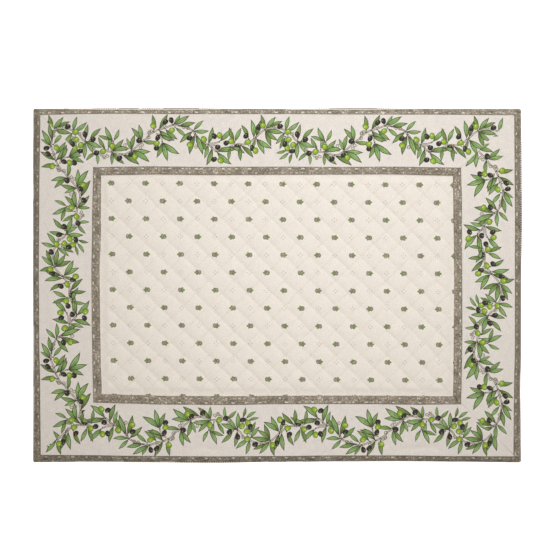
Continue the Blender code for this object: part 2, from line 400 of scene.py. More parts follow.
leaf = {
    "skew": 0.96,
    "point": 1.05,
    "steps": 9,
    "slimness": 0.262,    # full width over length
    "growth": 1.05,       # how much longer than charted the leaves are drawn
    "bow": 0.06,          # how far a leaf bends at most, over its length
    "stalk": 0.6,
    "stalkWidth": 0.8,
    "tones": (0.1, 0.4, 0.1),   # the darkest, the step to the next shade, and how far leaves differ
    "pale": ((0.0, "597641"), (0.5, "7da05f"), (1.0, "9bb781")),
    "dark": ((0.0, "434f29"), (0.5, "627b3c"), (1.0, "87a35f")),
    "outlineInk": "3b392b",
    "ribInk": "4e5a35",
    "marks": {            # where each drawn mark begins and is full, and how strong it is
        "outline": (0.36, 0.18, 1.0), "rib": (0.14, 0.04, 0.45), "tip": (0.82, 1.0, 0.6),
        "base": (0.28, 0.03, 0.9),
    },
    "hatchScale": (4.0, 2.2, 0),
    "hatchSeed": 9.0,     # so that no two leaves are hatched alike
    "hatchShare": 1.4,
    "sideShare": 0.20,    # one half of a leaf is paler than the other
    "lengthShade": (0.05, 0.55, -0.65, -0.10),   # from and to along the leaf, and how pale at each
}


def leafInkMaterial():
    # Pigment print on the percale: drawn leaves with a dark outline, a rib and hatched green.
    material, tree, _, tone = startCotton("leaf_green_pigment_on_cotton")
    place = addNode(tree, "SeparateXYZ", {0: addNode(tree, "UVMap", uv_map="motif")})
    along, side = place.outputs[0], place.outputs[1]
    swell = along
    powers = (("POWER", leaf["skew"]), ("MULTIPLY", math.pi), ("SINE", 0), ("POWER", leaf["point"]))
    for operation, amount in powers:
        swell = addNode(tree, "Math", {0: swell, 1: amount}, operation=operation)
    across = addNode(tree, "Math", {0: side}, operation="ABSOLUTE")
    inside = addNode(tree, "Math", {0: swell, 1: across}, operation="SUBTRACT")
    marks = {}
    for name, distance in (("outline", inside), ("rib", across), ("tip", along), ("base", along)):
        begin, full, strength = leaf["marks"][name]
        marks[name] = addNode(tree, "MapRange", {0: distance, 1: begin, 2: full, 4: strength})
    own = addNode(tree, "Attribute", attribute_name="tone").outputs["Fac"]
    hatch = addNode(tree, "CombineXYZ", {0: along, 1: side})
    hatch = addNode(tree, "VectorMath", {0: hatch, 1: leaf["hatchScale"]}, operation="MULTIPLY")
    seed = addNode(tree, "Math", {0: own, 1: leaf["hatchSeed"]}, operation="MULTIPLY")
    links = {"Vector": hatch, "W": seed, "Scale": 2.0, "Detail": 2.0}
    hatch = addNode(tree, "TexNoise", links, noise_dimensions="4D")
    paler = addNode(tree, "MapRange", {0: along, **dict(enumerate(leaf["lengthShade"], 1))})
    shade = addNode(tree, "Math", {0: hatch, 1: leaf["hatchShare"], 2: paler}, operation="MULTIPLY_ADD")
    shade = addNode(tree, "Math", {0: side, 1: leaf["sideShare"], 2: shade}, operation="MULTIPLY_ADD")
    dark, pale = (addNode(tree, "ValToRGB", {0: shade}, stops=leaf[name]) for name in ("dark", "pale"))
    color = addNode(tree, "Mix", {0: own, 6: dark, 7: pale}, data_type="RGBA")
    color = addNode(tree, "Mix", {0: marks["rib"], 6: color, 7: leaf["ribInk"]}, data_type="RGBA")
    drawn = addNode(tree, "Math", {0: marks["tip"], 1: marks["base"]}, operation="MAXIMUM")
    drawn = addNode(tree, "Math", {0: marks["outline"], 1: drawn}, operation="MAXIMUM")
    color = addNode(tree, "Mix", {0: drawn, 6: color, 7: leaf["outlineInk"]}, data_type="RGBA")
    return finishCotton(material, color, tone)


olives = {
    "green": {
        "size": (6.6, 5.6), "lump": 0.04,
        "stops": ((0.0, "8fae36"), (0.55, "87a533"), (0.82, "6e8a2e"), (1.0, "4a5528")),
        "gleam": "cdd98e", "gleamStrength": 0.75, "gleamAt": (0.24, 0.36, 0), "gleamRadius": 0.34,
    },
    "black": {
        "size": (5.9, 5.1), "lump": 0.06,
        "stops": ((0.0, "3d3832"), (0.6, "322e29"), (0.85, "2a2622"), (1.0, "231f1b")),
        "gleam": "a39d92", "gleamStrength": 0.7, "gleamAt": (0.33, 0.42, 0), "gleamRadius": 0.28,
    },
}
oliveShadow = {"lightFrom": (0.45, 0.75, 0), "begin": -0.2, "full": -0.8, "strength": 0.45}


def oliveInkMaterial(kind):
    # Pigment print on the percale: a round olive, darker to its rim, with a drawn gleam.
    material, tree, _, tone = startCotton(kind + "_olive_pigment_on_cotton")
    olive = olives[kind]
    place = addNode(tree, "UVMap", uv_map="motif")
    radius = addNode(tree, "VectorMath", {0: place}, operation="LENGTH").outputs["Value"]
    color = addNode(tree, "ValToRGB", {0: radius}, stops=olive["stops"])
    shadow = addNode(tree, "VectorMath", {0: place, 1: oliveShadow["lightFrom"]}, operation="DOT_PRODUCT")
    links = {0: shadow.outputs["Value"], 1: oliveShadow["begin"], 2: oliveShadow["full"]}
    shadow = addNode(tree, "MapRange", {**links, 4: oliveShadow["strength"]})
    color = addNode(tree, "Mix", {0: shadow, 6: color, 7: olive["stops"][-1][1]}, data_type="RGBA")
    gleam = addNode(tree, "VectorMath", {0: place, 1: olive["gleamAt"]}, operation="SUBTRACT")
    gleam = addNode(tree, "VectorMath", {0: gleam}, operation="LENGTH").outputs["Value"]
    gleam = addNode(
        tree, "MapRange", {0: gleam, 1: olive["gleamRadius"], 2: 0.08, 4: olive["gleamStrength"]}
    )
    color = addNode(tree, "Mix", {0: gleam, 6: color, 7: olive["gleam"]}, data_type="RGBA")
    return finishCotton(material, color, tone)


def lineInkMaterial(name, fill, line, lineStart):
    # Pigment print on the percale: a pale stroke between two drawn lines, broken where the ink ran thin.
    material, tree, cloth, tone = startCotton(name)
    reach = addNode(tree, "SeparateXYZ", {0: addNode(tree, "UVMap", uv_map="motif")}).outputs[1]
    reach = addNode(tree, "Math", {0: reach}, operation="ABSOLUTE")
    thin = addNode(tree, "TexNoise", {"Vector": cloth, "Scale": 0.45, "Detail": 2.0})  # about 2 mm wide
    reach = addNode(tree, "Math", {0: thin, 1: 0.8, 2: reach}, operation="MULTIPLY_ADD")
    drawn = addNode(tree, "MapRange", {0: reach, 1: lineStart + 0.35, 2: lineStart + 0.5})
    color = addNode(tree, "Mix", {0: drawn, 6: fill, 7: line}, data_type="RGBA")
    return finishCotton(material, color, tone)


def flatInkMaterial(name, paler, deeper):
    # Pigment print on the percale: one ink, laid a little unevenly.
    material, tree, cloth, tone = startCotton(name + "_pigment_on_cotton")
    laid = addNode(tree, "TexNoise", {"Vector": cloth, "Scale": 0.8, "Detail": 2.0})  # about 1 mm wide
    ink = addNode(tree, "ValToRGB", {0: laid}, stops=((0.35, paler), (0.65, deeper)))
    return finishCotton(material, ink, tone)


# A motif is an outline on the cloth with its own frame: where it starts, which way it points,
# and the length and half width that its "motif" UV counts in.
def makeMotif(ink, origin, angle, length, halfWidth, outline, tone=0.5, bow=0.0):
    ahead = (math.cos(math.radians(angle)), math.sin(math.radians(angle)))
    points = []
    for u, v in outline:
        x = u * length
        y = v * halfWidth + bow * length * 4 * u * (1 - u)
        points.append((origin[0] + ahead[0] * x - ahead[1] * y, origin[1] + ahead[1] * x + ahead[0] * y))
    return {
        "ink": ink, "origin": origin, "ahead": ahead, "length": length, "halfWidth": halfWidth,
        "bow": bow, "tone": tone, "outline": points,
    }


def motifUv(motif, point):
    x, y = point[0] - motif["origin"][0], point[1] - motif["origin"][1]
    ahead = motif["ahead"]
    u = (x * ahead[0] + y * ahead[1]) / motif["length"]
    y = y * ahead[0] - x * ahead[1] - motif["bow"] * motif["length"] * 4 * u * (1 - u)
    return u, y / motif["halfWidth"]


def leafOutline(count=leaf["steps"]):
    side = [
        (step / count, math.sin(math.pi * (step / count) ** leaf["skew"]) ** leaf["point"])
        for step in range(1, count)
    ]
    return [(0.0, 0.0)] + [(u, -v) for u, v in side] + [(1.0, 0.0)] + [(u, v) for u, v in reversed(side)]


def roundOutline(count, lump=0.0, turn=0.0):
    outline = []
    for step in range(count):
        angle = math.tau * step / count
        radius = 1 + lump * math.sin(2 * angle + turn) + lump / 2 * math.sin(3 * angle - turn)
        outline.append((radius * math.cos(angle), radius * math.sin(angle)))
    return outline


def strokeMotifs(ink, points, halfWidth):
    box = [(-0.06, -1), (1.06, -1), (1.06, 1), (-0.06, 1)]  # a little longer, so that bends stay closed
    made = []
    for (x0, y0), (x1, y1) in zip(points, points[1:]):
        angle = math.degrees(math.atan2(y1 - y0, x1 - x0))
        made.append(makeMotif(ink, (x0, y0), angle, math.hypot(x1 - x0, y1 - y0), halfWidth, box))
    return made


def curveThrough(points, steps=3):
    padded = [points[0]] + list(points) + [points[-1]]
    curve = []
    for span in zip(padded, padded[1:], padded[2:], padded[3:]):
        for step in range(steps):
            t = step / steps
            curve.append(tuple(
                0.5 * (
                    2 * b + (c - a) * t + (2 * a - 5 * b + 4 * c - d) * t * t
                    + (3 * b - a - 3 * c + d) * t ** 3
                )
                for a, b, c, d in zip(*span)
            ))
    return curve + [points[-1]]


# Olive sprays on a waving branch, charted for one repeat of the border print.
# Along runs clockwise round the mat, out is towards the fold, and 90 degrees points outwards.
inks = {"cloth": 0, "leaf": 1, "green": 2, "black": 3, "twig": 4, "tendril": 5, "stalk": 6}

garland = {
    "repeat": 209.5,
    "branch": (
        (-10, 1), (-7, 5), (-3, 7.5), (2, 10), (9, 12), (16, 14.5), (22, 14), (29, 12.5), (36, 9),
        (39, 5), (43, 0), (48, -3), (53, -5.5), (59, -11), (66, -9), (73, -6.5), (80, -4), (86, -4.5),
        (92, -2), (97, 1.5), (101, 5.5), (107, 10), (116, 11.5), (124, 10.5), (129, 7.5), (133, 5.5),
        (136, 1), (139, -1.5), (144, -6.5), (150, -11.5), (157, -11.5), (165, -12), (172, -14),
        (178, -14.5), (184.5, -11), (190, -6.5), (195, -1.5), (199.5, 1),
    ),
    "twigs": (
        ((-1, 6), (3, 5), (8, 2)), ((4, 5), (5, 1), (5.5, -2)), ((51, -3), (57, -3), (62, -1.5)),
        ((52, -5), (57, -5), (60.5, -5)), ((88, -4.5), (90, -1), (91, 1)), ((76, -5), (76.5, -3), (77, -1)),
        ((129, 7.5), (129.5, 2), (130, -3), (129.5, -8), (131, -12)), ((16, 14.5), (15, 17), (14.5, 19)),
        ((150, -11.5), (154, -15), (159, -19)), ((165, 0), (166.5, -5), (165, -11.5)),
        ((36, 9), (37, 7), (38, 5)), ((172, -14), (172.5, -16), (172.5, -18)),
    ),
    "sprays": (  # along, out, then each leaf's angle, length and shade, from 0 dark to 2 pale
        (2, 10, ((60, 17, 0), (-45, 16, 1), (-35, 18, 2))),
        (8, 11, ((-40, 16, 1),)),
        (3, 5, ((-20, 15, 0), (-25, 13, 1))),
        (-3, 8, ((95, 16, 0),)),
        (5.5, -2, ((250, 16, 1), (285, 19, 2), (325, 20, 2))),
        (16, 14.5, ((55, 12, 1), (30, 18, 2))),
        (22, 14, ((-5, 10, 0), (10, 16, 1))),
        (18, 12.5, ((-40, 14, 2),)),
        (36, 9, ((45, 14, 2), (0, 15, 2), (222, 17, 1))),
        (38, 6, ((255, 20, 0), (290, 21, 2))),
        (43, 0, ((-60, 15, 0),)),
        (51, -4, ((75, 17, 1), (255, 14, 2))),
        (55, -7, ((252, 18, 1),)),
        (62, -1.5, ((47, 17, 2),)),
        (77, -2, ((110, 15, 0), (65, 15, 2))),
        (59, -11, ((5, 19, 1), (-40, 19, 2))),
        (73, -6.5, ((262, 13, 1), (-25, 15, 2))),
        (83, -5, ((270, 15, 0), (-45, 17, 0))),
        (91, 1, ((118, 15, 0),)),
        (96, 1.5, ((98, 18, 2),)),
        (98, 3, ((73, 17, 0),)),
        (98, 1.5, ((250, 12, 1), (-62, 17, 2), (-32, 18, 2))),
        (107, 10, ((105, 15, 0), (-70, 17, 0), (-40, 16, 1), (-10, 18, 1), (50, 16, 2))),
        (111, 12, ((25, 14, 0),)),
        (127, 8, ((75, 15, 2), (35, 16, 2), (232, 15, 2))),
        (127, 3, ((245, 13, 0),)),
        (129, -10, ((195, 11, 1),)),
        (131, -12, ((215, 12, 2),)),
        (134, -12.5, ((255, 11, 0),)),
        (139, -1, ((80, 16, 1), (-58, 14, 2), (-22, 17, 2), (268, 17, 2))),
        (143, -0.5, ((45, 16, 1),)),
        (150, -12, ((220, 13, 1), (275, 12, 2))),
        (159, -10, ((120, 14, 1),)),
        (161.5, -9.5, ((83, 14, 2),)),
        (165, -1, ((160, 13.5, 1),)),
        (166.5, -2, ((65, 13, 2), (118, 16, 2))),
        (165, -11.5, ((45, 16, 1), (-45, 17, 1), (270, 13, 1), (8, 17, 2))),
        (175, -15, ((-30, 19, 0),)),
        (184.5, -11, ((78, 16, 1), (112, 13, 2), (-3, 18, 2), (-33, 20, 2))),
        (194.5, -1.5, ((-3, 15, 1), (128, 16, 1), (100, 16, 2))),
    ),
    "olives": (  # along, out, ink, turn
        (1.0, 2.0, "black", 60), (-0.2, -8.0, "black", 30), (-0.2, -3.6, "green", 10),
        (-3.4, 13.6, "green", 160), (8.6, 17.6, "black", 50), (14.4, 19.2, "black", 110),
        (14.8, 9.2, "green", 40), (32.4, 2.0, "black", 20), (33.0, -4.6, "green", 170),
        (46.8, 1.0, "green", 150), (57.0, 4.0, "black", 100), (62.2, 4.6, "green", 80),
        (56.8, -18.8, "black", 10), (63.2, -20.0, "green", 130), (60.4, -7.0, "black", 40),
        (68.8, -2.8, "black", 0), (73.8, -1.0, "green", 110),
        (90.0, -2.2, "green", 20), (88.2, 4.0, "black", 40), (94.6, -8.0, "black", 80),
        (97.8, -10.6, "green", 100), (100.6, 12.4, "black", 60), (105.0, 14.0, "green", 70),
        (121.8, 13.2, "black", 30), (129.4, 7.8, "green", 20), (130.0, 0.2, "green", 10),
        (129.0, -8.2, "green", 100), (134.6, -5.0, "green", 60), (126.6, -4.2, "black", 70),
        (133.8, -11.0, "black", 20), (146.6, 0.2, "black", 50), (138.6, 5.4, "black", 90),
        (150.0, -13.0, "black", 0), (156.4, -11.6, "green", 30), (165.6, -6.6, "green", 80),
        (172.6, -18.4, "black", 60), (183.8, -14.6, "black", 40),
        (187.8, -17.0, "green", 90), (191.8, -1.2, "black", 10),
    ),
    "olivesUnderLeaves": ((79.4, -6.6, "black", 30), (174.0, -8.6, "black", 20)),
    "tendrils": (  # along, out, first angle
        (-7, 7, 40), (-8, 2.5, 200), (8, 14, 100), (27, 12, 0), (31, 12, 160), (29, 15.5, 250),
        (39.3, -6.8, 70), (47, -1, 220), (65, -9, 20), (69, -8.5, 150), (82, -5, 300), (92, -4.5, 100),
        (116, 13, 10), (112, 15, 140), (134, 5.5, 60), (147, -9, 10), (157, -17, 250), (161, -16, 110),
        (178.2, -6, 40), (179, -9, 190), (195.5, -5, 80), (193, -8, 240), (202, 6.5, 30), (204, 8.5, 200),
    ),
    "branchWidth": 1.7,
    "twigWidth": 1.4,
    "tendrilWidth": 0.8,
    "tendrilReach": 2.1,
    "tendrilPoints": 11,
    "tendrilTurn": 42,      # from one point of a curl to the next
    "tendrilTaper": 0.07,   # how much nearer to its middle each point of a curl lies
    "nodeRadius": 0.8,
    "nodeLump": 0.2,
    "nodePoints": 9,        # in its outline
    "olivePoints": 20,
    "firstRepeat": -300,    # before the longest border's start, then enough repeats for its whole length
    "repeats": 5,
    "margin": 20,           # how far past the border's ends motifs are kept
}


def garlandMotifs(border, seed):
    toss = random.Random(seed)
    first = math.floor((garland["firstRepeat"] - border["printStart"]) / garland["repeat"])
    darkest, paler, differ = leaf["tones"]
    layers = {"twig": [], "stalk": [], "olivesUnderLeaves": [], "leaf": [], "olives": []}  # from the bottom
    for repeat in range(first, first + garland["repeats"]):
        shift = border["printStart"] + repeat * garland["repeat"]

        def onCloth(along, out):
            along += shift
            pulledAlong, pulledOut = (rowAt(border["drift"], along, column) for column in (1, 2))
            return along + pulledAlong, border["middle"] + out + pulledOut

        strokes = [("branchWidth", garland["branch"])] + [("twigWidth", twig) for twig in garland["twigs"]]
        for width, charted in strokes:
            curve = curveThrough([onCloth(*point) for point in charted])
            layers["twig"] += strokeMotifs(inks["twig"], curve, garland[width] / 2)
        for along, out, angle in garland["tendrils"]:
            curl = []
            for step in range(garland["tendrilPoints"]):
                reach = garland["tendrilReach"] * (1 - garland["tendrilTaper"] * step)
                turn = math.radians(angle + garland["tendrilTurn"] * step)
                curl.append(onCloth(along + reach * math.cos(turn), out + reach * math.sin(turn)))
            layers["twig"] += strokeMotifs(inks["tendril"], curl, garland["tendrilWidth"] / 2)
        for along, out, leaves in garland["sprays"]:
            node = onCloth(along, out)
            radius = garland["nodeRadius"]
            outline = roundOutline(garland["nodePoints"], garland["nodeLump"], along)
            layers["stalk"].append(makeMotif(inks["stalk"], node, 0, radius, radius, outline))
            for angle, charted, shade in leaves:
                length = charted * leaf["growth"]
                bow = leaf["bow"] * math.sin(math.radians(3 * angle + 7 * along))
                turn = math.radians(angle)
                start = onCloth(along + leaf["stalk"] * math.cos(turn), out + leaf["stalk"] * math.sin(turn))
                layers["stalk"] += strokeMotifs(inks["stalk"], [node, start], leaf["stalkWidth"] / 2)
                layers["leaf"].append(makeMotif(
                    inks["leaf"], start, angle, length - leaf["stalk"], length * leaf["slimness"] / 2,
                    leafOutline(), darkest + paler * shade + differ * toss.random(), bow,
                ))
        for layer in ("olives", "olivesUnderLeaves"):
            for along, out, kind, turn in garland[layer]:
                long, short = olives[kind]["size"]
                outline = roundOutline(garland["olivePoints"], olives[kind]["lump"], along)
                layers[layer].append(makeMotif(
                    inks[kind], onCloth(along, out), turn, long / 2, short / 2, outline, toss.random()
                ))
    motifs = sum(layers.values(), [])
    reach = max(abs(mitreAt(border, end, reachAt(border, 0, foldColumn))) for end in ("from", "to"))
    return [motif for motif in motifs if abs(motif["origin"][0]) < reach + garland["margin"]]


# Splits the outline into triangles that keep to every motif's edge, each with its top motif.
def insideTriangles(outline, motifs, loosePoints, lines=()):
    points, shapes, edges = [], [], []
    for shape in [outline] + [motif["outline"] for motif in motifs]:
        shapes.append(list(range(len(points), len(points) + len(shape))))
        points += [Vector(point) for point in shape]
    for line in lines:
        start = len(points)
        points += [Vector(point) for point in line]
        edges += [(place, place + 1) for place in range(start, len(points) - 1)]
    points += [Vector(point) for point in loosePoints]
    found, _, triangles, origins, _, owners = delaunay_2d_cdt(points, edges, shapes, 1, 1e-5, True)
    kept = [(tuple(tri), max(owner) - 1) for tri, owner in zip(triangles, owners) if 0 in owner]
    return [tuple(point) for point in found], kept, origins


def rimOf(faces):  # the points round the outside, anticlockwise
    sides = {(tri[k], tri[(k + 1) % 3]) for tri, _ in faces for k in range(3)}
    following = {a: b for a, b in sides if (b, a) not in sides}
    rim = [next(iter(following))]
    while following[rim[-1]] != rim[0]:
        rim.append(following[rim[-1]])
    return rim


def underTriangles(top, loosePoints, lines=()):  # the underside, within the upper side's rim
    points, faces, _ = top
    return insideTriangles([points[place] for place in rimOf(faces)], [], loosePoints, lines)


# A closed piece of cloth from its upper and under triangles in the cloth's own plane.
def clothPiece(name, top, under, turns, heights, attributes, materials):
    topPoints, topFaces, _ = top
    underPoints, underFaces, underOrigins = under
    rim = rimOf(topFaces)
    base = len(topPoints)
    plane = topPoints + underPoints
    upper = [number < base for number in range(len(plane))]
    positions = []
    for point, isTop in zip(plane, upper):
        x, y = turned(point, -turns)
        positions.append((x * mm, y * mm, heights[0 if isTop else 1](*point) * mm))
    lookup = {}
    for number, origin in enumerate(underOrigins):
        for source in origin:
            if source < len(rim):
                lookup[source] = base + number
    faces = topFaces + [(tuple(base + place for place in reversed(tri)), -1) for tri, _ in underFaces]
    for number, place in enumerate(rim):
        following = (number + 1) % len(rim)
        faces.append(((place, lookup[number], lookup[following], rim[following]), -1))
    used = sorted({place for face, _ in faces for place in face})
    renumbered = {place: number for number, place in enumerate(used)}
    shapes = [tuple(renumbered[place] for place in face) for face, _ in faces]
    mesh = bpy.data.meshes.new(name)
    mesh.from_pydata([positions[place] for place in used], [], shapes)
    clothUv, motifUvs, faceInks, tones = [], [], [], []
    for face, owner in faces:
        motif = attributes["motifs"][owner] if owner >= 0 else None  # None on the bare cloth
        faceInks.append(motif["ink"] if motif else 0)
        tones.append(motif["tone"] if motif else 0.5)
        for place in face:
            clothUv += (plane[place][0] - attributes["printStart"], plane[place][1])
            motifUvs += motifUv(motif, plane[place]) if motif else (0.0, 0.0)
    for layer, values in (("cloth", clothUv), ("motif", motifUvs)):
        mesh.uv_layers.new(name=layer).data.foreach_set("uv", values)
    mesh.polygons.foreach_set("material_index", faceInks)
    mesh.attributes.new("tone", "FLOAT", "FACE").data.foreach_set("value", tones)
    for label, reader in attributes["points"].items():
        values = [reader(plane[place], upper[place]) for place in used]
        mesh.attributes.new(label, "FLOAT", "POINT").data.foreach_set("value", values)
    return addPiece(name, mesh, materials, cotton["sharpAngle"])


_, centerHigh = (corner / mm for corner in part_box("quilted_center"))
clearance = 0.3

borderCloth = {
    "flatHeight": 2.3,
    "lapHeight": 2.8,
    "lapUnderside": 1.6,
    "foldHeight": 0.8,      # the middle of the rolled outer fold
    "foldEdge": 0.15,       # half the thickness left at the very edge of the fold
    "foldRoll": 7.5,
    "lapRoll": 1.0,
    "lapEdge": 1.95,
    "rampStart": 0.8,       # past the panel's raw edge, where the cloth begins to rise over it
    "lapRamp": 2.6,
    "seamDip": {"top_left": 0.03, "top_right": 0.03, "bottom_right": 0.12, "bottom_left": 0.03},
    "seamWidth": 0.8,
    "seamGap": 0.01,
    "cornerRadius": 2.5,
    "cornerSteps": 5,       # round half of a corner
    "outlinePitch": 4,
    "rowPitch": 2.5,
    "rollSteps": 6,
    "seamPoints": (0.35, 0.8, 1.5, 2.6),   # from the mitre
    "rampPoints": (1.0, 0.2, -0.7, -1.4),  # from the panel's raw edge
    "underPitch": 8.0,
    "underRollSteps": 3,
    "edgeRows": (2.4, 6),   # rows start this far from the lap, and leave this much at both edges together
    "pointTrim": 0.4,       # loose points keep this far from the mitres
    "stepHalf": 0.02,       # half the width of the step in the underside
    "stepTrim": 0.3,
    "stepPoints": 40,
    "farFromBands": -20.0,  # the depth that keeps the underside plain
    "edgeCalm": 3,          # swells, puckers and creases fade out this near an edge
    "swellHeight": 0.16,    # the cloth isn't dead flat
    "swellLength": 38.0,
    "puckerHeight": 0.10,   # along the stitched edges
    "puckerLength": 5.0,
    "puckerWidth": 14,
    "lapFade": 6,           # how far the puckers reach from the lap
    "foldFade": 5,          # and from the fold
    "foldPucker": (0.7, 2),     # how strong they are at the fold, and how far in they begin to fade
    "fineCrease": 2,        # creases up to this width get points of their own
    "creaseWander": (0.8, 5),   # how far and how often a crease strays from its line
    "creases": (            # x, y, angle, length, width, depth of soft creases
        (141, -160.5, 3, 62, 3.4, 0.32), (150, -157.2, 8, 34, 2.6, 0.22),
        (-67, -160.3, -4, 40, 3.0, 0.28), (-70, -156.0, 10, 22, 2.4, 0.20),
        (60, 160.0, 2, 46, 3.2, 0.18), (-224, -60, 92, 60, 3.4, 0.20),
        (226, 40, 88, 70, 3.6, 0.20), (-150, -121.5, 2, 60, 2.8, 0.20),
        (142, -158.9, 5, 24, 1.0, 0.26), (160, -161.5, 6, 14, 1.0, 0.22), (-68, -160.1, 1, 20, 1.1, 0.22),
    ),
}


def cornerInset(distance):
    radius = borderCloth["cornerRadius"]
    if distance >= radius:
        return 0.0
    return radius - math.sqrt(radius ** 2 - (radius - distance) ** 2)


def foldLength(border):
    return lengthAt(border, border["rows"][0][foldColumn])


def foldReach(border, share):
    return reachAt(border, share, foldColumn) - cornerInset(min(share, 1 - share) * foldLength(border))


def placeOn(border, share, across, trim):
    start = mitreAt(border, "from", across) + trim
    return start + (mitreAt(border, "to", across) - trim - start) * share, across


def borderOutline(border):
    trim = borderCloth["seamGap"] / math.sqrt(2)
    length = foldLength(border)
    radius, steps = borderCloth["cornerRadius"], borderCloth["cornerSteps"]
    turns = [math.radians(45 + 45 / steps * step) for step in range(steps + 1)]
    ends = [radius * (1 - math.cos(turn)) / length for turn in turns]
    count = round(length / borderCloth["outlinePitch"])
    middle = [ends[-1] + (1 - 2 * ends[-1]) * step / count for step in range(1, count)]
    shares = ends + middle + [1 - share for share in reversed(ends)]
    outer = [
        placeOn(border, (share - ends[0]) / (1 - 2 * ends[0]), foldReach(border, share), trim)
        for share in shares
    ]
    lap = [
        placeOn(border, step / count, reachAt(border, step / count, lapColumn), trim)
        for step in range(count + 1)
    ]
    return lap + outer[::-1]


def edgeDistances(border, along, across):
    share = shareAt(border, along, across)
    return {
        "fromFold": foldReach(border, min(max(share, 0), 1)) - across,
        "outerDepth": across - reachAt(border, share, outerLineColumn),
        "innerDepth": reachAt(border, share, innerLineColumn) - across,
        "fromLap": across - reachAt(border, share, lapColumn),
        "pastBand": across - reachAt(border, share, bandEndColumn),
    }


def seamDip(border, along, across):
    depth = 0.0
    for end, side in (("from", 1), ("to", -1)):
        away = max(side * (along - mitreAt(border, end, across)), 0) / math.sqrt(2)
        depth += borderCloth["seamDip"][border[end]] * math.exp(-(away / borderCloth["seamWidth"]) ** 2)
    return depth


def creasePoints(border):  # closer points where a crease on this border is narrow
    points = []
    for x, y, angle, length, width, _ in borderCloth["creases"]:
        along, across = turned((x, y), border["turns"])
        if width > borderCloth["fineCrease"] or across < border["rawEdge"]:
            continue
        turn = math.radians(angle + 90 * border["turns"])
        for step in range(math.ceil(length) + 1):
            reach = length * (step / math.ceil(length) - 0.5)
            for offset in (-2, -1, 0, 1, 2):
                points.append((
                    along + reach * math.cos(turn) - offset * width * math.sin(turn),
                    across + reach * math.sin(turn) + offset * width * math.cos(turn),
                ))
    return points


def creaseDepth(x, y):
    wander, waves = borderCloth["creaseWander"]
    total = 0.0
    for creaseX, creaseY, angle, length, width, depth in borderCloth["creases"]:
        aheadX, aheadY = math.cos(math.radians(angle)), math.sin(math.radians(angle))
        along = ((x - creaseX) * aheadX + (y - creaseY) * aheadY) / (length / 2)
        if abs(along) < 1:
            stray = wander * math.sin(waves * along)
            across = ((y - creaseY) * aheadX - (x - creaseX) * aheadY + stray) / width
            total += depth * (1 - along * along) * math.exp(-across * across)
    return total


def borderTop(border, along, across):
    edges = edgeDistances(border, along, across)
    fromFold, fromLap = edges["fromFold"], edges["fromLap"]
    flat, lap = borderCloth["flatHeight"], borderCloth["lapHeight"]
    edge = borderCloth["foldHeight"] + borderCloth["foldEdge"]
    height = edge + (flat - edge) * quarterRound(fromFold, borderCloth["foldRoll"])
    ramp = border["rawEdge"] + borderCloth["rampStart"] - across
    height += (lap - flat) * smoothStep(ramp / borderCloth["lapRamp"])
    height -= (lap - borderCloth["lapEdge"]) * (1 - quarterRound(fromLap, borderCloth["lapRoll"]))
    height -= seamDip(border, along, across)
    x, y = turned((along, across), -border["turns"])
    inland = smoothStep(min(fromFold, fromLap) / borderCloth["edgeCalm"])
    swell = noise.noise(Vector((x, y, 7)) / borderCloth["swellLength"])
    height += inland * borderCloth["swellHeight"] * swell
    share, start = borderCloth["foldPucker"]
    nearFold = math.exp(-max(fromFold - start, 0) / borderCloth["foldFade"])
    nearLap = math.exp(-fromLap / borderCloth["lapFade"])
    place = (along / borderCloth["puckerLength"], across / borderCloth["puckerWidth"], border["turns"])
    pucker = noise.noise(Vector(place))
    height += inland * borderCloth["puckerHeight"] * (nearLap + share * nearFold) * pucker
    return height - inland * creaseDepth(x, y)


def borderUnder(border, along, across):
    if across < border["rawEdge"]:
        return borderCloth["lapUnderside"]
    fromFold = edgeDistances(border, along, across)["fromFold"]
    edge = borderCloth["foldHeight"] - borderCloth["foldEdge"]
    return edge * (1 - quarterRound(fromFold, borderCloth["foldRoll"]))


# Loose points that carry the border's relief, closer together at its folds and seams.
def borderPoints(border, pitch, rollSteps, seamPoints=(), rampPoints=()):
    rolled = [1 - math.cos(math.pi / 2 * step / rollSteps) for step in range(1, rollSteps + 1)]
    length = lengthAt(border, border["middle"])
    count = round(length / pitch)
    shares = [(step + 0.5) / count for step in range(count)]
    seams = [distance * math.sqrt(2) / length for distance in seamPoints]
    start, kept = borderCloth["edgeRows"]
    points = []
    for share in shares + seams + [1 - seam for seam in seams]:
        fold, lap = foldReach(border, share), reachAt(border, share, lapColumn)
        width = fold - lap - kept
        rows = round(width / pitch)
        across = [fold - borderCloth["foldRoll"] * roll for roll in rolled]
        across += [lap + borderCloth["lapRoll"] * roll for roll in rolled]
        across += [lap + start + width * row / rows for row in range(rows + 1)]
        across += [border["rawEdge"] + offset for offset in rampPoints]
        points += [placeOn(border, share, reach, borderCloth["pointTrim"]) for reach in across]
    return points


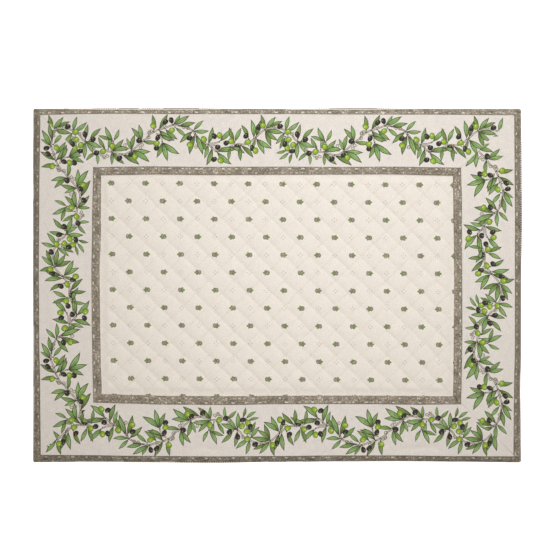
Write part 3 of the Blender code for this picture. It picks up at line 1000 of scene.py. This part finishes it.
def buildBorder(name, border, seed, materials):
    border["rawEdge"] = centerHigh[1 - border["turns"] % 2] + clearance
    motifs = garlandMotifs(border, seed)
    settings = (borderCloth[key] for key in ("rowPitch", "rollSteps", "seamPoints", "rampPoints"))
    loose = borderPoints(border, *settings)
    top = insideTriangles(borderOutline(border), motifs, loose + creasePoints(border))
    wall = []
    for side in (1, -1):  # the underside steps up over the panel's raw edge
        reach = border["rawEdge"] + side * borderCloth["stepHalf"]
        shares = [step / borderCloth["stepPoints"] for step in range(borderCloth["stepPoints"] + 1)]
        wall.append([placeOn(border, share, reach, borderCloth["stepTrim"]) for share in shares])
    loose = borderPoints(border, borderCloth["underPitch"], borderCloth["underRollSteps"])
    under = underTriangles(top, loose, wall)

    def readDistance(label, point, isTop):  # the underside shows the bare ground
        return edgeDistances(border, *point)[label] if isTop else borderCloth["farFromBands"]

    def readHemEdge(column, point, isTop):
        return hemEdgeAt(border, point[0], column)

    readers = {label: partial(readDistance, label) for label in bandDistances}
    readers["teeth"] = partial(readHemEdge, teethColumn)
    readers["line"] = partial(readHemEdge, lineColumn)
    # the hem band's painted light and shade, one factor for each border
    readers["hemPaintedShade"] = lambda point, isTop: border["hemPaintedShade"]
    attributes = {"motifs": motifs, "printStart": border["printStart"], "points": readers}
    heights = (partial(borderTop, border), partial(borderUnder, border))
    piece = clothPiece(name + "_cloth", top, under, border["turns"], heights, attributes, materials)
    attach(piece, "root")
    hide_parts(name)
    print(f"{name}: {len(piece.data.polygons)} faces, {len(motifs)} printed shapes")


borderMaterials = [
    borderCottonMaterial(),
    leafInkMaterial(),
    oliveInkMaterial("green"),
    oliveInkMaterial("black"),
    lineInkMaterial("twig_brown_pigment_on_cotton", "c6c0b4", "453f34", 0.40),
    flatInkMaterial("tendril_grey", "8f887c", "726b5f"),
    flatInkMaterial("stalk_green", "50543a", "434730"),
]
for seed, (name, border) in enumerate(borders.items(), 11):
    buildBorder(name, border, seed, borderMaterials)


center = {
    "field": (-171.8, 171.8, -106.0, 107.4),   # low x, high x, low y, high y that no lap covers
    "pitch": 24.5,
    "crossing": (7.1, 4.6),
    "cells": 12,
    "underCells": 4,
    "rimPoints": 60,      # on each side
    "edgeTrim": 0.5,      # loose points keep this far from the raw edge
    "channelHeight": 1.6,
    "relief": 1.05,
    "edgeHeight": 1.3,
    "fade": 7.0,
    "waver": 1.3,
    "waverLength": 75.0,
    "waverPlaces": ((3, 1, 5), (-7, 4, 2)),   # one for each direction, far apart in the noise
    "fallingLean": (0.6, 0.012, -0.011),   # how far the falling lines stray, with x and with y
    "risingLean": (0.0, 0.015, 0.0),
    "risingDepth": 0.48,  # the rising lines are sewn less deep than the falling ones
    "plump": 0.18,        # how far the diamonds differ from each other
    "plumpTurn": (12.9, 78.2),   # from one diamond to the next, across and along
    "fullness": 0.0010,   # and how much fuller they get to the right, for each mm
    "underGroove": 0.5,
    "toneSpread": 0.09,
}

sprigPrint = {
    "first": (-162.7, 100.57),
    "columnStep": (16.80, -0.108),
    "rowStep": (0.25, -17.41),
    "columns": 21,
    "rows": 13,
    "margin": 1,          # from the panel's raw edge
    "dotReach": 1.75,
    "dotRadius": 0.6,
    "dotPoints": 6,       # in its outline
    "leaves": ((-56, 2.9), (56, 2.9), (0, 3.6)),   # angle and length
    "leafHalfWidth": 0.95,
    "leafSteps": 6,
    "budReach": 1.4,      # from the sprig's middle
    "budRadii": (2.0, 1.45),
    "budPoints": 12,
    "budLump": 0.03,
    "heartShare": 0.45,
    "lineWidth": 0.32,
}
centerInks = {"cloth": 0, "line": 1, "leaf": 2, "bud": 3, "budHeart": 4, "dot": 5}


def waverAt(x, y):
    place = Vector((x, y, 0)) / center["waverLength"]
    falling, rising = (
        start + x * withX + y * withY
        for start, withX, withY in (center["fallingLean"], center["risingLean"])
    )
    wavers = [center["waver"] * noise.noise(place + Vector(away)) for away in center["waverPlaces"]]
    return (falling + rising) / 2 + wavers[0], (falling - rising) / 2 + wavers[1]


def pillowAt(x, y):  # 0 on a stitched line and 1 in the middle of a diamond, and the diamond's number
    dx, dy = waverAt(x, y)
    x, y = x - dx - center["crossing"][0], y - dy - center["crossing"][1]
    across, along = (x + y) / center["pitch"], (x - y) / center["pitch"]
    falling, rising = (math.sqrt(abs(math.sin(math.pi * place))) for place in (across, along))
    pillow = falling * (1 - center["risingDepth"] * (1 - rising))
    return pillow, math.floor(across), math.floor(along)


def fieldShare(x, y):
    lowX, highX, lowY, highY = center["field"]
    return smoothStep(min(x - lowX, highX - x, y - lowY, highY - y) / center["fade"])


def centerTop(x, y):
    pillow, across, along = pillowAt(x, y)
    turnAcross, turnAlong = center["plumpTurn"]
    differ = 0.5 + 0.5 * math.sin(turnAcross * across + turnAlong * along)
    plump = 1 + x * center["fullness"] - center["plump"] * differ
    full = center["channelHeight"] + center["relief"] * plump * pillow
    return center["edgeHeight"] + (full - center["edgeHeight"]) * fieldShare(x, y)


def centerUnder(x, y):
    return center["underGroove"] * (1 - pillowAt(x, y)[0]) * fieldShare(x, y)


def quiltPoints(cells):  # on the quilting's diagonals, so that a row lies on every stitched line
    step = center["pitch"] / 2 / cells
    halfX, halfY = centerHigh[0], centerHigh[1]
    columns, rows = math.ceil(halfX / step) + 8, math.ceil(halfY / step) + 8  # some over, as lines stray
    points = []
    for i in range(-columns, columns):
        for j in range(-rows, rows):
            if (i + j) % 2 == 0:
                x, y = center["crossing"][0] + i * step, center["crossing"][1] + j * step
                dx, dy = waverAt(x, y)
                if abs(x + dx) < halfX - center["edgeTrim"] and abs(y + dy) < halfY - center["edgeTrim"]:
                    points.append((x + dx, y + dy))
    return points


def sprigMotifs():  # a bud with three leaves at every other place of the grid, and four dots between
    motifs = []
    line = sprigPrint["lineWidth"]

    def add(ink, at, angle, length, halfWidth, outline):
        motifs.append(makeMotif(centerInks[ink], at, angle, length, halfWidth, outline))

    for row in range(sprigPrint["rows"]):
        for column in range(sprigPrint["columns"]):
            x, y = (
                first + column * columnStep + row * rowStep for first, columnStep, rowStep
                in zip(sprigPrint["first"], sprigPrint["columnStep"], sprigPrint["rowStep"])
            )
            if (column + row) % 2:
                for quarter in range(4):
                    dx, dy = turned((sprigPrint["dotReach"], 0), quarter)
                    radius = sprigPrint["dotRadius"]
                    outline = roundOutline(sprigPrint["dotPoints"])
                    add("dot", (x + dx, y + dy), 0, radius, radius, outline)
                continue
            pair = (column - row % 2) // 2
            side, facing = (180, -1) if (pair % 2 == 1) == (row % 4 >= 2) else (0, 1)
            for ink, more in (("line", line), ("leaf", 0.0)):
                for angle, length in sprigPrint["leaves"]:
                    halfWidth = sprigPrint["leafHalfWidth"] + more
                    outline = leafOutline(sprigPrint["leafSteps"])
                    add(ink, (x, y), side + angle, length + more, halfWidth, outline)
            budAt = (x - sprigPrint["budReach"] * facing, y)
            long, short = sprigPrint["budRadii"]
            for ink, share, more in (
                ("line", 1.0, line), ("bud", 1.0, 0.0), ("budHeart", sprigPrint["heartShare"], 0.0)
            ):
                outline = roundOutline(sprigPrint["budPoints"], sprigPrint["budLump"])
                add(ink, budAt, 90, long * share + more, short * share + more, outline)
    halfX, halfY = centerHigh[0] - sprigPrint["margin"], centerHigh[1] - sprigPrint["margin"]
    return [m for m in motifs if all(abs(px) < halfX and abs(py) < halfY for px, py in m["outline"])]


def quiltedCottonMaterial():
    # The same percale over wadding: cream, a touch warmer, with soft worn patches.
    material, tree, cloth, tone = startCotton("quilted_cotton_percale")
    ground = cloudedGround(tree, cloth, ((0.35, "d8d3cc"), (0.65, "d6d1cb")))
    return finishCotton(material, ground, tone, center["toneSpread"])


def buildCenter():
    halfX, halfY = centerHigh[0], centerHigh[1]
    ring = [(-halfX, -halfY), (halfX, -halfY), (halfX, halfY), (-halfX, halfY)]
    count = center["rimPoints"]
    outline = []
    for (startX, startY), (endX, endY) in zip(ring, ring[1:] + ring[:1]):
        outline += [
            (startX + (endX - startX) * step / count, startY + (endY - startY) * step / count)
            for step in range(count)
        ]
    motifs = sprigMotifs()
    top = insideTriangles(outline, motifs, quiltPoints(center["cells"]))
    under = underTriangles(top, quiltPoints(center["underCells"]))
    materials = [
        quiltedCottonMaterial(),
        flatInkMaterial("sprig_brown", "74705e", "66624f"),
        flatInkMaterial("sprig_green", "778a5c", "697c4d"),
        flatInkMaterial("bud_grey", "8a8475", "7e7868"),
        flatInkMaterial("bud_heart", "948e7e", "888271"),
        flatInkMaterial("dot_beige", "bdb29c", "aca087"),
    ]
    attributes = {"motifs": motifs, "printStart": 0.0, "points": {}}
    heights = (centerTop, centerUnder)
    piece = clothPiece("quilted_center_cloth", top, under, 0, heights, attributes, materials)
    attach(piece, "root")
    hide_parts("quilted_center")
    print(f"quilted centre: {len(piece.data.polygons)} faces, {len(motifs)} printed shapes")


buildCenter()


stitching = {
    "length": 2.3,        # what shows of each stitch
    "width": 0.42,        # sewing cotton
    "bendAt": 0.28,       # of the length, from the stitch's middle
    "endFrom": 0.4,
    "endDrop": 1.6,       # how many half widths the ends go down
    "endTaper": 0.6,
    "perDiamond": 6,      # stitches along one side of a diamond
    "lift": 0.14,         # a stitch's middle over the bottom of its channel
    "edgePitch": 2.9,
    "edgeInset": 1.6,     # from the lap's edge
    "edgeLift": 0.03,
    "edgeTrim": 1.5,      # from the mitres
    "twistSize": 0.3,
    "twistHeight": 0.1,
    "sharpAngle": 75,
    "finish": {"Roughness": 0.6, "Sheen Weight": 0.1},
}


def threadMaterial(name, paler, deeper):
    # Mercerised sewing cotton: a faint gloss, and the light and dark turns of its twist.
    material, tree, shader = newMaterial(name, stitching["finish"])
    place = addNode(tree, "TexCoord").outputs["Object"]
    scale = 1 / (stitching["twistSize"] * mm)
    twist = addNode(tree, "TexNoise", {"Vector": place, "Scale": scale, "Detail": 2.0})
    color = addNode(tree, "ValToRGB", {0: twist}, stops=((0.35, deeper), (0.65, paler)))
    height = stitching["twistHeight"] * mm
    bump = addNode(tree, "Bump", {"Height": twist, "Distance": height, "Strength": 0.5})
    tree.links.new(color.outputs[0], shader.inputs["Base Color"])
    tree.links.new(bump.outputs[0], shader.inputs["Normal"])
    return material


def modelStitch():  # one stitch along X, its ends drawn down into the cloth
    length, radius = stitching["length"] * mm, stitching["width"] / 2 * mm
    bpy.ops.object.select_all(action="DESELECT")
    bpy.ops.mesh.primitive_cylinder_add(
        vertices=6, radius=radius, depth=length, location=(0, 0, 0), rotation=(0, math.pi / 2, 0)
    )
    stitch = bpy.context.object
    bpy.ops.object.transform_apply()
    bpy.ops.object.mode_set(mode="EDIT")
    for share in (-stitching["bendAt"], stitching["bendAt"]):
        bpy.ops.mesh.select_all(action="SELECT")
        bpy.ops.mesh.bisect(plane_co=(share * length, 0, 0), plane_no=(1, 0, 0))
    for end in (-1, 1):
        bpy.ops.mesh.select_all(action="DESELECT")
        bpy.ops.object.mode_set(mode="OBJECT")
        for vertex in stitch.data.vertices:
            vertex.select = end * vertex.co.x > stitching["endFrom"] * length
        bpy.ops.object.mode_set(mode="EDIT")
        bpy.ops.transform.translate(value=(0, 0, -stitching["endDrop"] * radius))
        bpy.ops.transform.resize(value=(1, stitching["endTaper"], stitching["endTaper"]))
    bpy.ops.object.mode_set(mode="OBJECT")
    return stitch


def quiltingPlaces():  # along every sewn line of the field, from crossing to crossing
    step = center["pitch"] / 2 / stitching["perDiamond"]
    lowX, highX, lowY, highY = center["field"]
    reach = math.ceil(highY / step) + stitching["perDiamond"]
    lines = math.ceil((highX + reach * step) / center["pitch"])
    places = []
    for slope in (1, -1):
        for line in range(-lines, lines + 1):
            for number in range(-reach, reach):
                ahead = (number + 0.5) * step
                x = center["crossing"][0] + line * center["pitch"] + ahead
                y = center["crossing"][1] + slope * ahead
                dx, dy = waverAt(x, y)
                if lowX < x + dx < highX and lowY < y + dy < highY:
                    places.append((x + dx, y + dy, math.radians(45 * slope), centerTop))
    return places


def edgePlaces():  # along each border's lap
    places = []
    for border in borders.values():
        turns = border["turns"]
        count = round(lengthAt(border, border["rows"][0][lapColumn]) / stitching["edgePitch"])

        def lapTop(x, y, border=border, turns=turns):
            return borderTop(border, *turned((x, y), turns))

        for number in range(count):
            share = (number + 0.5) / count
            across = reachAt(border, share, lapColumn) + stitching["edgeInset"]
            x, y = turned(placeOn(border, share, across, stitching["edgeTrim"]), -turns)
            places.append((x, y, -math.pi / 2 * turns, lapTop))
    return places


def sewStitches(name, stitch, places, lift, material):
    points = [vertex.co / mm for vertex in stitch.data.vertices]
    sides = [tuple(face.vertices) for face in stitch.data.polygons]
    positions, faces = [], []
    for x, y, turn, topAt in places:
        cosine, sine = math.cos(turn), math.sin(turn)
        faces += [tuple(len(positions) + corner for corner in side) for side in sides]
        for point in points:
            axisX, axisY = x + point.x * cosine, y + point.x * sine
            positions.append((
                (axisX - point.y * sine) * mm, (axisY + point.y * cosine) * mm,
                (topAt(axisX, axisY) + lift + point.z) * mm,
            ))
    mesh = bpy.data.meshes.new(name)
    mesh.from_pydata(positions, [], faces)
    piece = addPiece(name, mesh, [material], stitching["sharpAngle"])
    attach(piece, "root")
    print(f"{name}: {len(places)} stitches")


stitch = modelStitch()
sewStitches(
    "quilting_stitches", stitch, quiltingPlaces(), stitching["lift"],
    threadMaterial("cream_sewing_cotton", "d3ccbf", "bfb7a8"),
)
sewStitches(
    "edge_stitches", stitch, edgePlaces(), stitching["edgeLift"],
    threadMaterial("taupe_sewing_cotton", "948a7a", "7c7364"),
)
bpy.data.objects.remove(stitch, do_unlink=True)


studio = {
    "floorSize": 6000,
    "floorGap": 0.2,      # the floor lies this far under the mat
    "floorFinish": {
        "Base Color": linearColor("f4f4f4"), "Roughness": 0.9,
        "Emission Color": linearColor("ffffff"), "Emission Strength": 0.75,
    },
    "fill": {"Color": linearColor("ffeed7"), "Strength": 0.34},
    "softboxes": {  # place, size, power in W
        "softbox_over": ((0, 0, 500), 400, 1.5),
        "softbox_side": ((260, 600, 700), 600, 5.8),
    },
    "boxColor": "fdfeff",
    "view": (-2.03, 10.34, 1275.7),
    "frameWidth": 540.3,
    "lens": 85.0,
}


def buildStudio():
    bpy.ops.object.select_all(action="DESELECT")
    bpy.ops.mesh.primitive_plane_add(size=studio["floorSize"] * mm, location=(0, 0, -studio["floorGap"] * mm))
    floor = bpy.context.object
    floor.name = "floor"
    floor.data.materials.append(newMaterial("matt_white_acrylic", studio["floorFinish"])[0])

    world = bpy.data.worlds.new("studio")
    world.use_nodes = True
    for socket, value in studio["fill"].items():
        world.node_tree.nodes["Background"].inputs[socket].default_value = value
    bpy.context.scene.world = world

    for name, (place, size, power) in studio["softboxes"].items():
        lamp = bpy.data.lights.new(name, "AREA")
        lamp.energy = power
        lamp.color = linearColor(studio["boxColor"])[:3]
        lamp.shape = "SQUARE"
        lamp.size = size * mm
        softbox = bpy.data.objects.new(name, lamp)
        softbox.location = Vector(place) * mm
        softbox.rotation_euler = softbox.location.to_track_quat("Z", "Y").to_euler()
        softbox.visible_camera = False
        bpy.context.scene.collection.objects.link(softbox)

    camera = bpy.data.cameras.new("camera")
    camera.lens = studio["lens"]
    camera.sensor_width = studio["lens"] * studio["frameWidth"] / studio["view"][2]
    viewer = bpy.data.objects.new("camera", camera)
    viewer.location = Vector(studio["view"]) * mm
    bpy.context.scene.collection.objects.link(viewer)
    bpy.context.scene.camera = viewer
    bpy.context.scene.view_settings.view_transform = "Standard"


buildStudio()
print("Studio ready")
